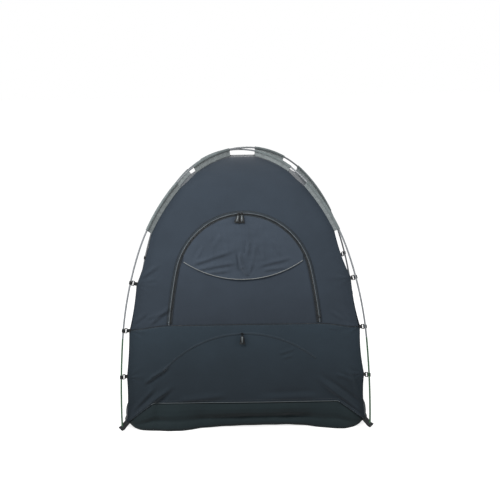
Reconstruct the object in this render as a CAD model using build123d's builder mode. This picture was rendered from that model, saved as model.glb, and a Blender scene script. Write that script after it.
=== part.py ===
"""Free-standing blackout canopy that stands over a travel cot.

Two shock-corded poles cross over the top and stand in corner boots. A floorless dark shell hangs inside
them from sleeves and hinged clips. Its front has an arched zipped door with a pouch, a second zip below
the waist seam, and a skirt all round. Millimetres, +Z up, the front faces -Y, origin on the floor under
the crossing.
"""

import os
from math import acos, cos, degrees, hypot, radians, sin

from build123d import *

os.makedirs("parts", exist_ok=True)

# ---------------------------------------------------------------- driving dimensions
FOOT_X = 635.0  # a pole foot from the centre line, across
FOOT_Y = 457.0  # and front to back
APEX = 1405.4  # mid-height of the two poles where they cross
SECTION = 440.17  # one of the upper three pole sections of a leg; the lowest runs on to the floor
BENDS = (40.76, 27.43, 15.91, 6.66)  # how far each section of a leg turns, crossing first, degrees
TUBE_R, TUBE_BORE = 4.5, 3.9
FERRULE_R, FERRULE_BORE, FERRULE_REACH = 3.75, 2.8, 30.0
CORD_R = 1.4
CROSSING_LIFT = 4.75  # pole A rides this much over, pole B this much under, the crossing
SECTION_GAP = 0.2  # left at each end of a section
CORD_STOP = 30.0  # height at which the shock cord ends inside the lowest sections

CLOTH = 1.6  # wall thickness of the stand-in shell
SEAM_Z = 539.0  # waist seam, which is also the door's hinge line
HEM_S = 1653.0  # leg length from the crossing at which the walls end and the skirt begins
TOP_S = 85.0  # and at which they begin under the crossing
CORNER_GAPS = ((0, 32.0), (752, 34.0), (1025, 41.0), (1270, 31.0), (1515, 28.5), (1760, 28.5))

CLIP_S = {  # clips down each leg
    "front_left": (1031.0, 1278.0, 1518.0),
    "front_right": (1009.0, 1265.0, 1515.0),
    "rear_right": (1025.0, 1270.0, 1515.0),
    "rear_left": (1025.0, 1270.0, 1515.0),
}
HOOK_BORE, HOOK_WALL, HOOK_TALL = 4.8, 3.0, 18.0
HOOK_FROM, HOOK_TO = 90.0, 192.0  # the hook's arc round the pole, degrees from the inward direction
HOOK_ROOT = 4.5  # where the hook turns straight towards its frame
BAR_N, BAR_R = 22.0, 1.75  # the clip's hinge bar, inward of the pole
FRAME_TALL, FRAME_LONG, FRAME_THICK = 27.0, 14.0, 3.2
SLOT_TALL, RAIL = 20.0, 4.0  # window in the frame, and the rail between it and the hook
WEB_WIDE, WEB_THICK, WEB_GAP = 18.0, 0.7, 0.3
TETHER_SHORT = 3.6  # the webbing ends this far outside the cloth's corner, where it is sewn on

SLEEVE_BORE, SLEEVE_R, SLEEVE_N, SLEEVE_THICK = 5.0, 6.0, 25.5, 1.6
FRONT_SLEEVES = ((85.0, 326.0), (452.0, 752.0))
REAR_SLEEVES = ((85.0, 288.0), (400.0, 752.0))

ARCH_R, ARCH_Z, ARCH_END = 349.0, 744.0, 78.5  # door arch: radius, centre height, half its sweep in degrees
ARCH_FOOT = 383.0  # where its legs reach the waist seam
ZIP_SPLIT, TAPE_WIDE, TAPE_THICK = 0.6, 12.5, 1.0
TAPE_GAP = 0.15  # between a tape and the cloth behind it
TAPE_STOP = 8.0  # kept clear of the waist seam
FAN_R, FAN_TOP, FAN_SWEEP = 560.0, 494.0, 50.0  # shallow zip below the waist seam
POUCH_SIDE = (305.0, 859.0)  # ends of the pouch lip on the arch
POUCH_LOW = 767.0  # its lowest point on the centre line
POUCH_LIFT, POUCH_THICK, POUCH_INSET = 1.6, 1.2, 1.0  # off the door, its cloth, and inside the tape
PIPING, PIPING_PROUD = 4.0, 0.6
SLIDER_LONG, SLIDER_WIDE, SLIDER_THICK, SLIDER_LIFT, SLIDER_ROUND = 12.0, 9.0, 3.6, 3.2, 2.5
POST_R, POST_LONG, POST_HEAD, POST_CAP = 1.5, 3.0, 3.0, 1.2
BAIL_WIDE, BAIL_TALL, BAIL_WIRE, BAIL_FIT = 6.4, 10.6, 1.6, 0.2
BAIL_Z = SLIDER_LIFT + SLIDER_THICK + 0.5
PULL_TALL, PULL_TOP, PULL_FOOT, PULL_THICK = 34.0, 12.0, 24.0, 3.0
EYE_R, EYE_FIT, EYE_THICK = 2.6, 0.3, 2.4  # the pull's eye round the bail

BOOT_R, BOOT_BORE, BOOT_TALL, BOOT_FLOOR = 8.3, 5.4, 28.0, 3.0
TIP_Z, TUBE_END_Z = 3.4, 10.0
TIP_GAP, TIP_FIT, TIP_PLUG = 0.3, 0.1, 15.0  # under the tube, round its plug, and the plug's length
TAB_IN, TAB_HIGH, TAB_WIDE, TAB_THICK = 758.0, 38.0, 28.0, 3.0  # its upper end at the shell's corner
TAB_BEND, TAB_TOE, TAB_LOW = 6.0, 16.0, 5.0  # outside the cup, past the pole, and its height there

DIAGONAL = hypot(FOOT_X, FOOT_Y)
ACROSS, ALONG = FOOT_X / DIAGONAL, FOOT_Y / DIAGONAL
REACH = 900.0  # longer than anything it cuts


# ---------------------------------------------------------------- the poles' shape
LOWEST = len(BENDS) - 1


def pole_at(s):
    """Distance out, height and slope in radians of the pole's axis, s along a leg from the crossing."""
    out, height, slope = 0.0, APEX, 0.0
    for k, bend in enumerate(BENDS):
        radius = SECTION / radians(bend)
        turned = slope + (s if k == LOWEST else min(s, SECTION)) / radius
        out += radius * (sin(turned) - sin(slope))
        height -= radius * (cos(slope) - cos(turned))
        slope = turned
        s -= SECTION
        if s <= 0 or k == LOWEST:
            break
    return out, height, slope


def s_at_height(height):
    """Length along the last section at which the pole's axis comes down to this height."""
    _, top, slope = pole_at(LOWEST * SECTION)
    radius = SECTION / radians(BENDS[LOWEST])
    return LOWEST * SECTION + radius * (acos(cos(slope) - (top - height) / radius) - slope)


class Leg:
    """Half of a pole, from the crossing down to one corner."""

    def __init__(self, name, x_side, y_side):
        self.name, self.x_side, self.y_side = name, x_side, y_side
        self.lift = CROSSING_LIFT if x_side == y_side else -CROSSING_LIFT
        self.out = Vector(x_side * ACROSS, y_side * ALONG, 0)

    def station(self, s):
        """Plane across the leg at s: x points inward, z runs down the leg."""
        out, height, slope = pole_at(s)
        origin = self.out * out + Vector(0, 0, height + self.lift)
        inward = self.out * -sin(slope) + Vector(0, 0, -cos(slope))
        down = self.out * cos(slope) + Vector(0, 0, -sin(slope))
        return Plane(origin=origin, x_dir=inward, z_dir=down)

    def bays(self, start, end):
        """Where each pole section's share of a run begins, with the axis and angle that carry it along."""
        for k, bend in enumerate(BENDS):
            low, high = max(start, k * SECTION), end if k == LOWEST else min(end, (k + 1) * SECTION)
            if high - low > SECTION_GAP:
                radius = SECTION / radians(bend)
                here = self.station(low)
                middle = Axis(here.origin + here.x_dir * radius, here.y_dir)
                yield here, middle, degrees((high - low) / radius)


LEGS = {
    "front_left": Leg("front_left", -1, -1),
    "front_right": Leg("front_right", 1, -1),
    "rear_right": Leg("rear_right", 1, 1),
    "rear_left": Leg("rear_left", -1, 1),
}
POLES = {"a": ("front_left", "rear_right"), "b": ("front_right", "rear_left")}


def save(name, builder):
    """Label a finished sub-part and write it."""
    builder.part.label = name
    export_step(builder.part, f"parts/{name}.step")


# ---------------------------------------------------------------- poles
def bent_ring(leg, start, end, outer, inner=0.0):
    """A length of round tube or bar that follows the leg."""
    for plane, axis, angle in leg.bays(start, end):
        with BuildSketch(plane) as ring:
            Circle(outer)
            if inner:
                Circle(inner, mode=Mode.SUBTRACT)
        revolve(ring.sketch, axis=axis, revolution_arc=angle)


def foot_s(leg, height):
    """Length along a leg at which it comes down to a height above the floor."""
    return s_at_height(height - leg.lift)


for pole, ends in POLES.items():
    with BuildPart() as upper:
        for end in ends:
            for k in range(LOWEST):
                low, high = k * SECTION + SECTION_GAP, (k + 1) * SECTION - SECTION_GAP
                bent_ring(LEGS[end], low, high, TUBE_R, TUBE_BORE)
    save(f"pole_{pole}_upper_sections", upper)

    with BuildPart() as lower:
        for end in ends:
            leg = LEGS[end]
            bent_ring(leg, LOWEST * SECTION + SECTION_GAP, foot_s(leg, TUBE_END_Z), TUBE_R, TUBE_BORE)
    save(f"pole_{pole}_lower_sections", lower)

    with BuildPart() as ferrules:
        for end in ends:
            for k in range(LOWEST + 1):
                low, high = max(0, k * SECTION - FERRULE_REACH), k * SECTION + FERRULE_REACH
                bent_ring(LEGS[end], low, high, FERRULE_R, FERRULE_BORE)
    save(f"pole_{pole}_ferrules", ferrules)

    with BuildPart() as cord:
        for end in ends:
            bent_ring(LEGS[end], 0, foot_s(LEGS[end], CORD_STOP), CORD_R)
    save(f"pole_{pole}_shock_cord", cord)

with BuildPart() as tips:
    for leg in LEGS.values():
        end_s = foot_s(leg, TUBE_END_Z - TIP_GAP)
        with BuildSketch(leg.station(end_s)):
            Circle(TUBE_R)
        extrude(amount=TUBE_END_Z - TIP_Z - 2 * TIP_GAP)
        with BuildSketch(leg.station(end_s)):
            Circle(FERRULE_R - TIP_FIT)
        extrude(amount=-TIP_PLUG)
save("pole_tips", tips)


# ---------------------------------------------------------------- corner boots
def boot(leg):
    """A cup that the pole's tip stands in, on a webbing tab that slopes up to the shell's corner."""
    foot = pole_at(foot_s(leg, TUBE_END_Z))[0]
    floor = Plane(origin=leg.out * foot, x_dir=leg.out, z_dir=(0, 0, 1))
    end_on = Plane(origin=leg.out * foot, x_dir=leg.out, z_dir=leg.out.cross(Vector(0, 0, 1)))
    upper, bend = (TAB_IN - foot, TAB_HIGH), (-BOOT_R - TAB_BEND, TAB_LOW + TAB_BEND)
    with BuildPart() as piece:
        with BuildSketch(floor):
            Circle(BOOT_R)
        extrude(amount=BOOT_TALL)
        with BuildSketch(end_on):
            with BuildLine():
                Polyline(upper, bend, (0, TAB_LOW), (TAB_TOE, TAB_LOW))
            trace(line_width=TAB_THICK)
        extrude(amount=TAB_WIDE / 2, both=True)
        with BuildSketch(floor.offset(BOOT_FLOOR)):
            Circle(BOOT_BORE)
        extrude(amount=BOOT_TALL, mode=Mode.SUBTRACT)
    return piece


for leg in LEGS.values():
    save(f"boot_{leg.name}", boot(leg))


# ---------------------------------------------------------------- clips and their tethers
def corner_gap(s):
    """Gap from the pole's axis inward to the shell's corner seam."""
    for (s0, gap0), (s1, gap1) in zip(CORNER_GAPS, CORNER_GAPS[1:]):
        if s <= s1:
            return gap0 + (gap1 - gap0) * (s - s0) / (s1 - s0)
    return CORNER_GAPS[-1][1]


def clip(leg, s):
    """A hook that goes round the pole, on a slotted frame that swings about its inner bar."""
    plane = leg.station(s)
    shank = HOOK_BORE + HOOK_WALL
    near = BAR_N - FRAME_LONG
    half = FRAME_THICK / 2
    with BuildPart() as piece:
        with BuildSketch(plane.offset(-HOOK_TALL / 2)):
            with BuildLine():
                outer = CenterArc((0, 0), shank, HOOK_FROM, HOOK_TO - HOOK_FROM)
                inner = CenterArc((0, 0), HOOK_BORE, HOOK_FROM, HOOK_TO - HOOK_FROM)
                Line(outer @ 1, inner @ 1)
                Line(outer @ 0, inner @ 0)
            make_face()
            Polygon(
                (0, HOOK_BORE), (0, shank), (HOOK_ROOT, shank), (near + RAIL, half),
                (near + RAIL, -half), (near, -half), (near, BAR_R / 3), (HOOK_ROOT + 0.5, HOOK_BORE),
                align=None,
            )
        extrude(amount=HOOK_TALL)
        with BuildSketch(plane.offset(-FRAME_TALL / 2)):
            with Locations(((near + BAR_N) / 2, 0)):
                Rectangle(BAR_N - near, FRAME_THICK)
        extrude(amount=FRAME_TALL)
        with BuildSketch(plane.offset(-SLOT_TALL / 2)):
            with Locations(((near + RAIL + BAR_N) / 2, 0)):
                Rectangle(BAR_N - near - RAIL, 2 * FRAME_THICK)
        extrude(amount=SLOT_TALL, mode=Mode.SUBTRACT)
        with BuildSketch(plane.offset(-FRAME_TALL / 2)):
            with Locations((BAR_N, 0)):
                Circle(BAR_R)
        extrude(amount=FRAME_TALL)
    return piece


for leg in LEGS.values():
    for number, s in enumerate(CLIP_S[leg.name], 1):
        save(f"clip_{leg.name}_{number}", clip(leg, s))

with BuildPart() as tethers:
    for leg in LEGS.values():
        for s in CLIP_S[leg.name]:
            eye = BAR_R + WEB_GAP
            tail = corner_gap(s) - TETHER_SHORT
            with BuildSketch(leg.station(s).offset(-WEB_WIDE / 2)):
                with BuildLine():
                    CenterArc((BAR_N, 0), eye + WEB_THICK, 90, 180)
                    Line((BAR_N, eye + WEB_THICK), (tail, WEB_THICK))
                    Line((tail, WEB_THICK), (tail, -WEB_THICK))
                    Line((tail, -WEB_THICK), (BAR_N, -eye - WEB_THICK))
                make_face()
                with Locations((BAR_N, 0)):
                    Circle(eye, mode=Mode.SUBTRACT)
            extrude(amount=WEB_WIDE)
save("clip_tethers", tethers)

# ---------------------------------------------------------------- sleeves
for leg in LEGS.values():
    with BuildPart() as sleeve:
        for start, end in FRONT_SLEEVES if leg.y_side < 0 else REAR_SLEEVES:
            for plane, axis, angle in leg.bays(start, end):
                with BuildSketch(plane):
                    Circle(SLEEVE_R)
                    with Locations((SLEEVE_N / 2, 0)):
                        Rectangle(SLEEVE_N, SLEEVE_THICK)
                    Circle(SLEEVE_BORE, mode=Mode.SUBTRACT)
                revolve(axis=axis, revolution_arc=angle)
    save(f"sleeve_{leg.name}", sleeve)


# ---------------------------------------------------------------- walls
PROBE = 2.0  # half the length over which a curve's direction is taken


def corner(s):
    """Distance out and height of the shell's corner seam beside the leg at s."""
    out, height, slope = pole_at(s)
    gap = corner_gap(s)
    return out - gap * sin(slope), height - gap * cos(slope)


def wall_profile(scale, lift, start=TOP_S, end=HEM_S, points=12):
    """Profile points of a wall seen end on, scale times the corner's distance out, lifted off the cloth."""
    profile = []
    for i in range(points + 1):
        s = start + (end - start) * i / points
        (out0, z0), (out1, z1) = corner(s - PROBE), corner(s + PROBE)
        along = Vector((out1 - out0) * scale, z1 - z0).normalized()
        here = Vector(corner(s)[0] * scale, corner(s)[1])
        profile.append(here + Vector(-along.Y, along.X) * lift)
    return profile


# One wall faces each way: the plane it is drawn in, its direction, and the scale of its distance out.
FACES = {
    "front": (Plane(origin=(0, 0, 0), x_dir=(0, -1, 0), z_dir=(-1, 0, 0)), Vector(0, -1), ALONG),
    "back": (Plane(origin=(0, 0, 0), x_dir=(0, 1, 0), z_dir=(1, 0, 0)), Vector(0, 1), ALONG),
    "left": (Plane(origin=(0, 0, 0), x_dir=(-1, 0, 0), z_dir=(0, 1, 0)), Vector(-1, 0), ACROSS),
    "right": (Plane(origin=(0, 0, 0), x_dir=(1, 0, 0), z_dir=(0, -1, 0)), Vector(1, 0), ACROSS),
}
MITRE = 0.5  # gap between neighbouring walls at the corner seam


def quarter(face):
    """Plan of the quarter of the shell that a wall belongs to, between the two diagonals."""
    _, facing, _ = FACES[face]
    a, b = ACROSS * REACH, ALONG * REACH
    side = Vector(a, 0) if facing.X == 0 else Vector(0, b)
    forward = facing * (b if facing.X == 0 else a)
    shift = facing * MITRE
    return [shift, forward + side + shift, forward - side + shift]


def strip(face, middle, thick, low, high):
    """A wall's whole strip of cloth, cut to its quarter and between two heights."""
    plane, _, scale = FACES[face]
    with BuildSketch(plane) as profile:
        with BuildLine():
            outer = Spline(wall_profile(scale, middle + thick / 2))
            inner = Spline(wall_profile(scale, middle - thick / 2))
            Line(outer @ 0, inner @ 0)
            Line(outer @ 1, inner @ 1)
        make_face()
    extrude(profile.sketch, amount=REACH, both=True)
    with BuildSketch(Plane.XY.offset(low)) as plan:
        Polygon(*quarter(face), align=None)
    extrude(plan.sketch, amount=high - low, mode=Mode.INTERSECT)


def arch(grow, foot_z, mode=Mode.ADD):
    """Door outline seen from the front, grown outward by a margin."""
    with BuildLine() as outline:
        crown = CenterArc((0, ARCH_Z), ARCH_R + grow, 90 - ARCH_END, 2 * ARCH_END)
        right = TangentArc(crown @ 0, (ARCH_FOOT + grow, foot_z), tangent=(crown % 0) * -1)
        left = TangentArc(crown @ 1, (-ARCH_FOOT - grow, foot_z), tangent=crown % 1)
        Line(left @ 1, right @ 1)
    make_face(outline.edges(), mode=mode)


FRONT_VIEW = Plane(origin=(0, -REACH, 0), x_dir=(1, 0, 0), z_dir=(0, -1, 0))
SEAM_GAP = 1.3  # kept clear above and below the waist seam, so that the door can turn about it
CEILING = APEX
HEM_Z = corner(HEM_S)[1]

top_out, top_z = corner(TOP_S)
with BuildPart() as crown_panel:
    with BuildSketch(Plane.XY.offset(top_z - CLOTH / 2)):
        Rectangle(2 * (top_out * ACROSS - CLOTH), 2 * (top_out * ALONG - CLOTH))
    extrude(amount=CLOTH)
save("crown_panel", crown_panel)

with BuildPart() as front_upper:
    strip("front", 0, CLOTH, SEAM_Z + SEAM_GAP, CEILING)
    with BuildSketch(FRONT_VIEW):
        arch(ZIP_SPLIT, SEAM_Z)
    extrude(amount=-REACH, mode=Mode.SUBTRACT)
save("front_upper_panel", front_upper)

with BuildPart() as door:
    strip("front", 0, CLOTH, SEAM_Z + SEAM_GAP, CEILING)
    with BuildSketch(FRONT_VIEW):
        arch(-ZIP_SPLIT, SEAM_Z)
    extrude(amount=-REACH, mode=Mode.INTERSECT)
save("door_panel", door)

tape_middle = CLOTH / 2 + TAPE_GAP + TAPE_THICK / 2
tape_low = SEAM_Z + TAPE_STOP
with BuildPart() as outer_tape:
    strip("front", tape_middle, TAPE_THICK, tape_low, CEILING)
    with BuildSketch(FRONT_VIEW):
        arch(TAPE_WIDE, SEAM_Z)
        arch(ZIP_SPLIT, SEAM_Z, Mode.SUBTRACT)
    extrude(amount=-REACH, mode=Mode.INTERSECT)
save("door_zip_outer_tape", outer_tape)

with BuildPart() as inner_tape:
    strip("front", tape_middle, TAPE_THICK, tape_low, CEILING)
    with BuildSketch(FRONT_VIEW):
        arch(-ZIP_SPLIT, SEAM_Z)
        arch(-TAPE_WIDE, SEAM_Z, Mode.SUBTRACT)
    extrude(amount=-REACH, mode=Mode.INTERSECT)
save("door_zip_inner_tape", inner_tape)


def pouch_outline(drop):
    """Keep what lies above the pouch's lip, or the lip's own band alone when a drop is given."""
    side_x, side_z = POUCH_SIDE
    with BuildLine() as outline:
        lip = ThreePointArc((-side_x, side_z), (0, POUCH_LOW), (side_x, side_z))
        if drop:
            low = ThreePointArc((-side_x, side_z - drop), (0, POUCH_LOW - drop), (side_x, side_z - drop))
            Line(lip @ 0, low @ 0)
            Line(lip @ 1, low @ 1)
        else:
            Line(lip @ 1, (side_x, CEILING))
            Line((side_x, CEILING), (-side_x, CEILING))
            Line((-side_x, CEILING), lip @ 0)
    make_face(outline.edges(), mode=Mode.INTERSECT)


with BuildPart() as pouch:
    strip("front", POUCH_LIFT, POUCH_THICK, tape_low, CEILING)
    with BuildSketch(FRONT_VIEW):
        arch(-TAPE_WIDE - POUCH_INSET, SEAM_Z)
        pouch_outline(0)
    extrude(amount=-REACH, mode=Mode.INTERSECT)
save("door_pouch", pouch)

with BuildPart() as piping:
    strip("front", POUCH_LIFT + PIPING_PROUD / 2, POUCH_THICK + PIPING_PROUD, tape_low, CEILING)
    with BuildSketch(FRONT_VIEW):
        arch(-TAPE_WIDE - POUCH_INSET, SEAM_Z)
        pouch_outline(PIPING)
    extrude(amount=-REACH, mode=Mode.INTERSECT)
save("pouch_piping", piping)

for face in FACES:
    if face in ("front", "back"):
        with BuildPart() as lower_wall:
            strip(face, 0, CLOTH, HEM_Z, SEAM_Z - SEAM_GAP)
        save(f"{face}_lower_panel", lower_wall)
    if face == "back":
        with BuildPart() as upper_wall:
            strip(face, 0, CLOTH, SEAM_Z + SEAM_GAP, CEILING)
        save("back_upper_panel", upper_wall)
    if face in ("left", "right"):
        with BuildPart() as side_wall:
            strip(face, 0, CLOTH, HEM_Z, CEILING)
        save(f"{face}_panel", side_wall)

with BuildPart() as fan_tape:
    strip("front", tape_middle, TAPE_THICK, HEM_Z, SEAM_Z - TAPE_STOP)
    with BuildSketch(FRONT_VIEW):
        with BuildLine():
            centre = (0, FAN_TOP - FAN_R)
            outer = CenterArc(centre, FAN_R + TAPE_WIDE / 2, 90 - FAN_SWEEP, 2 * FAN_SWEEP)
            inner = CenterArc(centre, FAN_R - TAPE_WIDE / 2, 90 - FAN_SWEEP, 2 * FAN_SWEEP)
            Line(outer @ 0, inner @ 0)
            Line(outer @ 1, inner @ 1)
        make_face()
    extrude(amount=-REACH, mode=Mode.INTERSECT)
save("fan_zip_tape", fan_tape)

# ---------------------------------------------------------------- skirt
SKIRT_EDGE = {  # plan of the skirt's outer edge for one side, as across and outward distances
    "long": (
        (-560, 468), (-485, 469), (-400, 486), (-330, 485), (-233, 468), (-20, 466), (224, 466),
        (376, 470), (449, 477), (508, 479), (560, 468),
    ),
    "short": ((-392, 628), (-250, 640), (-60, 632), (120, 641), (300, 631), (392, 636)),
}
SKIRT_FALL = {  # its profile from the hem down to the floor, as outward distance past the hem and height
    "long": ((3, 95), (6, 40), (11, 9), (20, 0.8)),
    "short": ((3, 92), (6, 40), (11, 9), (18, 0.8)),
}
SKIRT_FLAT = {"long": 90.0, "short": 60.0}
SKIRT_INSET = 4.0  # from the corner seam and from the hem
SKIRT_GAP = 0.6  # under the hem
hem_out = corner(HEM_S)[0]


def skirt(face):
    """Cloth that leaves the hem, curves to the floor and lies on it out to a wavy edge."""
    plane, facing, scale = FACES[face]
    kind = "long" if facing.X == 0 else "short"
    half = hem_out * (ACROSS if kind == "long" else ALONG) - SKIRT_INSET
    hem = hem_out * scale
    with BuildPart() as piece:
        with BuildSketch(plane):
            with BuildLine():
                drop = [(hem + out, z) for out, z in SKIRT_FALL[kind]]
                fall = Spline((hem, HEM_Z - SKIRT_GAP), *drop, tangents=((0.02, -1), (1, 0)))
                Line(fall @ 1, (hem + SKIRT_FLAT[kind], CLOTH / 2))
            trace(line_width=CLOTH)
        extrude(amount=REACH, both=True)
        with BuildSketch(Plane(origin=(0, 0, -1), x_dir=(-facing.Y, facing.X, 0), z_dir=(0, 0, 1))):
            with BuildLine():
                edge = Spline(*[(across, -out) for across, out in SKIRT_EDGE[kind]])
                inset = SKIRT_INSET - hem
                Polyline(edge @ 0, (-half, inset), (-half, 0), (half, 0), (half, inset), edge @ 1)
            make_face()
        extrude(amount=REACH, mode=Mode.INTERSECT)
    return piece


for face in FACES:
    save(f"{face}_skirt", skirt(face))


# ---------------------------------------------------------------- sliders and pulls
def front_plane(x, z, turn):
    """Plane on the front wall's outside at x, z: its z points out of the wall, its y up along it."""
    s_low, s_high = TOP_S, HEM_S
    while s_high - s_low > 0.01:
        middle = (s_low + s_high) / 2
        if corner(middle)[1] > z:
            s_low = middle
        else:
            s_high = middle
    (out0, z0), (out1, z1) = corner(s_low - PROBE), corner(s_low + PROBE)
    up = Vector(0, (out1 - out0) * ALONG, z0 - z1).normalized()
    across = Vector(1, 0, 0)
    turned = across * cos(radians(turn)) + up * sin(radians(turn))
    plane = Plane(origin=(x, -corner(s_low)[0] * ALONG, z), x_dir=turned, z_dir=across.cross(up))
    return plane.offset(CLOTH / 2)


SLIDERS = {  # where each slider waits: degrees round its arc from the top, and how its pull hangs
    "door_left": (-3.3, -12.0),
    "door_right": (-0.7, 0.0),
    "fan": (-1.2, 0.0),
}
BAIL_EYE = POST_R + BAIL_FIT
WINDOW_TOP, WINDOW_LOW = BAIL_EYE + 2 * BAIL_WIRE, BAIL_TALL - BAIL_WIRE  # the bail's opening


def slider_spot(name):
    """A slider's place on the front and the angle that its zip makes there."""
    angle, _ = SLIDERS[name]
    radius, middle = (FAN_R, FAN_TOP - FAN_R) if name == "fan" else (ARCH_R, ARCH_Z)
    return radius * sin(radians(angle)), middle + radius * cos(radians(angle)), -angle


for name, (angle, hang) in SLIDERS.items():
    x, z, along = slider_spot(name)
    seat = front_plane(x, z, along)
    hanging = front_plane(x, z, hang)

    with BuildPart() as slider:
        with BuildSketch(seat.offset(SLIDER_LIFT)):
            RectangleRounded(SLIDER_LONG, SLIDER_WIDE, SLIDER_ROUND)
        extrude(amount=SLIDER_THICK)
        with BuildSketch(seat.offset(SLIDER_LIFT)):
            Circle(POST_R)
        extrude(amount=SLIDER_THICK + POST_LONG)
        with BuildSketch(seat.offset(SLIDER_LIFT + SLIDER_THICK + POST_LONG)):
            Circle(POST_HEAD)
        extrude(amount=POST_CAP)
    save(f"{name}_slider", slider)

    with BuildPart() as bail:
        with BuildSketch(hanging.offset(BAIL_Z)):
            Circle(BAIL_EYE + BAIL_WIRE)
            with Locations((0, -BAIL_TALL / 2)):
                Rectangle(BAIL_WIDE, BAIL_TALL)
            Circle(BAIL_EYE, mode=Mode.SUBTRACT)
            with Locations((0, -(WINDOW_TOP + WINDOW_LOW) / 2)):
                Rectangle(BAIL_WIDE - 2 * BAIL_WIRE, WINDOW_LOW - WINDOW_TOP, mode=Mode.SUBTRACT)
        extrude(amount=BAIL_WIRE)
    save(f"{name}_bail", bail)

    bar_y = -BAIL_TALL + BAIL_WIRE / 2
    bar_z = BAIL_Z + BAIL_WIRE / 2
    with BuildPart() as pull:
        with BuildSketch(hanging.offset(bar_z - PULL_THICK / 2)):
            Polygon(
                (-PULL_TOP / 2, bar_y - EYE_R), (PULL_TOP / 2, bar_y - EYE_R),
                (PULL_FOOT / 2, bar_y - PULL_TALL), (-PULL_FOOT / 2, bar_y - PULL_TALL),
                align=None,
            )
        extrude(amount=PULL_THICK)
        bar = hanging.from_local_coords((0, bar_y, bar_z))
        across_bar = Plane(origin=bar, x_dir=hanging.y_dir, z_dir=hanging.x_dir)
        with BuildSketch(across_bar.offset(-EYE_THICK / 2)):
            Circle(EYE_R)
            with Locations((-EYE_R * 0.77, 0)):
                Rectangle(EYE_R * 1.54, PULL_THICK)
            Circle(BAIL_WIRE / 2**0.5 + EYE_FIT, mode=Mode.SUBTRACT)
        extrude(amount=EYE_THICK)
    save(f"{name}_pull", pull)

# ---------------------------------------------------------------- summary
foot_out = pole_at(foot_s(LEGS["front_left"], TUBE_END_Z))[0]
top = APEX + CROSSING_LIFT + TUBE_R
print(f"pole feet {2 * foot_out * ACROSS:.0f} x {2 * foot_out * ALONG:.0f}, top {top:.0f}, hem {HEM_Z:.1f}")
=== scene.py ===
import math

import bpy
import numpy as np
from mathutils import Matrix, Vector


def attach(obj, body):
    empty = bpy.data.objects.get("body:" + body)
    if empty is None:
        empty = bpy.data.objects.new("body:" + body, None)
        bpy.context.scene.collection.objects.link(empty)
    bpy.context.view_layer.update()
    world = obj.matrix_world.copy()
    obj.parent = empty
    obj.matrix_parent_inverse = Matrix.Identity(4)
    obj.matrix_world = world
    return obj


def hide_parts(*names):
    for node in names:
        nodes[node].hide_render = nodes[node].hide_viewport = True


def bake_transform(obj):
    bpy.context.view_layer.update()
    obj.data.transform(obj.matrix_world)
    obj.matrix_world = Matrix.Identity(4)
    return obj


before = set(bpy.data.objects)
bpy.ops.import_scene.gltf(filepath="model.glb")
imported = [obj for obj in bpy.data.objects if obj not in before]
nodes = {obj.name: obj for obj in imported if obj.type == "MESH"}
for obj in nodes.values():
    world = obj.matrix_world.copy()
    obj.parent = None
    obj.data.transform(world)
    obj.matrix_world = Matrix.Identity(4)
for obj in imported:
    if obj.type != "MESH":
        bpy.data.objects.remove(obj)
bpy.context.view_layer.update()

# ---- camera
def add_camera():
    height, distance = 1.8562, 6.4484
    yaw, pitch, roll = math.radians(0.642), math.radians(8.799), math.radians(-1.011)
    place = Vector((distance * math.sin(yaw), -distance * math.cos(yaw), height))
    ahead = Vector((-math.sin(yaw) * math.cos(pitch), math.cos(yaw) * math.cos(pitch), -math.sin(pitch)))
    right = Vector((math.cos(yaw), math.sin(yaw), 0))
    up = right.cross(ahead)
    rolled_right = right * math.cos(roll) + up * math.sin(roll)
    rolled_up = up * math.cos(roll) - right * math.sin(roll)
    data = bpy.data.cameras.new("camera")
    data.sensor_width = 36.0
    data.lens = 87.15
    data.shift_x = 0.0122
    camera = bpy.data.objects.new("camera", data)
    axes = Matrix((rolled_right, rolled_up, -ahead)).transposed()
    camera.matrix_world = Matrix.Translation(place) @ axes.to_4x4()
    bpy.context.scene.collection.objects.link(camera)
    bpy.context.scene.camera = camera


add_camera()

# ---- sizes, in metres
FOOT_X, FOOT_Y, APEX = 0.635, 0.457, 1.4054
SECTION = 0.44017
BENDS = (40.76, 27.43, 15.91, 6.66)
CROSSING_LIFT = 0.00475
ACROSS, ALONG = FOOT_X / math.hypot(FOOT_X, FOOT_Y), FOOT_Y / math.hypot(FOOT_X, FOOT_Y)
TOP_S = 0.085
SEAM_Z, HEM_RISE, CORNER_Z = 0.539, 0.139, 0.038
FOOT_OUT = 0.7812
CLIP_S = {"front_left": (1.031, 1.278, 1.518), "front_right": (1.009, 1.265, 1.515),
          "rear_left": (1.025, 1.270, 1.515), "rear_right": (1.025, 1.270, 1.515)}
BAR_N = 0.022
ARCH_R, ARCH_Z, ARCH_END, ARCH_FOOT = 0.349, 0.744, 78.5, 0.383
TAPE = 0.0125
POUCH_SIDE, POUCH_LOW = (0.305, 0.859), 0.767
FAN_R, FAN_TOP = 0.560, 0.494
SLEEVES = {"front": ((0.085, 0.326), (0.452, 0.752)), "rear": ((0.085, 0.288), (0.400, 0.752))}
CLOTH = 0.0016  # the CAD panels' thickness, which the sliders are placed on
# Where a corner seam is held: leg length, gap inward from the pole, and the bow of the stretch below.
BOWS = {
    "front_left": ((0.037, 0.016), (0.036, 0.011), (0.033, 0.006)),
    "front_right": ((0.031, 0.017), (0.032, 0.014), (0.030, 0.012)),
    "rear_left": ((0.036, 0.014), (0.033, 0.012), (0.031, 0.009)),
    "rear_right": ((0.034, 0.015), (0.033, 0.012), (0.031, 0.010)),
}
PLAIN_GAPS = ((0.0, 0.032), (0.752, 0.034), (1.025, 0.041), (1.270, 0.031), (1.515, 0.0285), (1.85, 0.0285))
CORNERS = {"front_left": (-1, -1), "front_right": (1, -1), "rear_left": (-1, 1), "rear_right": (1, 1)}


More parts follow.
